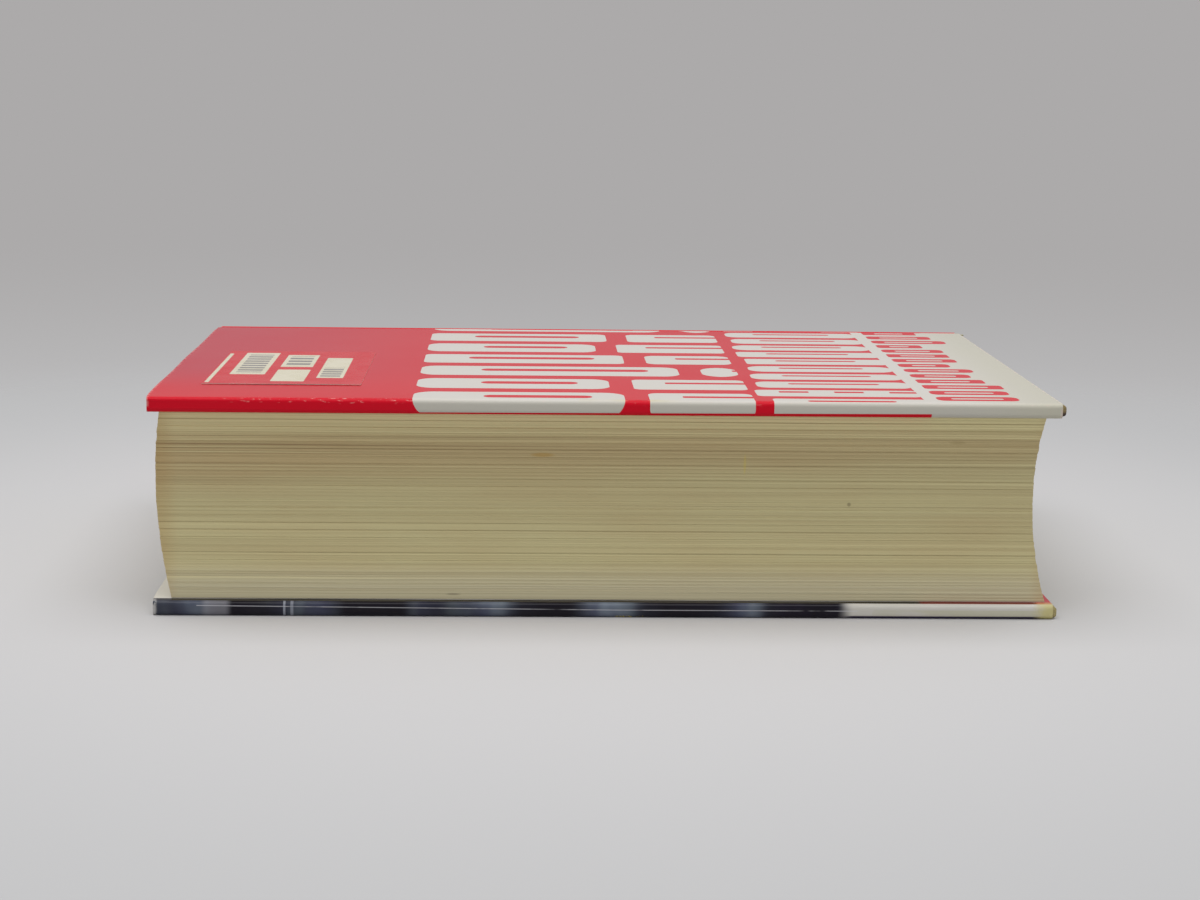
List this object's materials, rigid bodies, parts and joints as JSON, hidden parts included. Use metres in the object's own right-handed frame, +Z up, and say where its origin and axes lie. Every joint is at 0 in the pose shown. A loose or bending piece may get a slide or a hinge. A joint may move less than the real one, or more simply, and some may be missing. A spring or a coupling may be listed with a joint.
{
  "type": "hardback book",
  "caption": "Thick case-bound book in a loose glossy paper jacket, lying closed on its back cover, with a rounded spine and two covers that open.",
  "frame": {"origin": "on the surface the book lies on, under the middle of the book's outline", "axes": "+X towards the head of the book, -Y towards the fore-edge, +Y towards the spine, +Z up through the front cover"},
  "size_m": [0.2423, 0.1654, 0.059],
  "materials": {
    "pages": "matte",
    "endpaper": "matte",
    "open_cloth": "matte",
    "liner": "matte",
    "band": "satin",
    "card": "matte",
    "board": "matte",
    "book_cloth": "matte",
    "jacket_red": "gloss",
    "jacket_dark": "gloss",
    "label_paper": "satin"
  },
  "bodies": {
    "book_block": {"text_block": "pages", "front_flyleaf": "endpaper", "back_flyleaf": "endpaper", "spine_mull": "open_cloth", "spine_liner": "liner", "head_band": "band", "tail_band": "band", "spine_inlay": "card", "spine_cloth": "book_cloth", "jacket_spine": "jacket_red"},
    "front_cover": {"front_board": "board", "front_mull_tab": "open_cloth", "front_cloth": "book_cloth", "front_pastedown": "endpaper", "jacket_front": "jacket_red", "label": "label_paper"},
    "back_cover": {"back_board": "board", "back_mull_tab": "open_cloth", "back_cloth": "book_cloth", "back_pastedown": "endpaper", "jacket_back": "jacket_dark"}
  },
  "joints": [
    {"name": "front_cover_hinge", "type": "hinge", "parent": "book_block", "child": "front_cover", "pos_m": [0, 0.07581, 0.05685], "axis": [-1, 0, 0], "range_deg": [0, 180]},
    {"name": "back_cover_hinge", "type": "hinge", "parent": "book_block", "child": "back_cover", "pos_m": [0, 0.07771, 0.002], "axis": [1, 0, 0], "range_deg": [0, 180]}
  ]
}
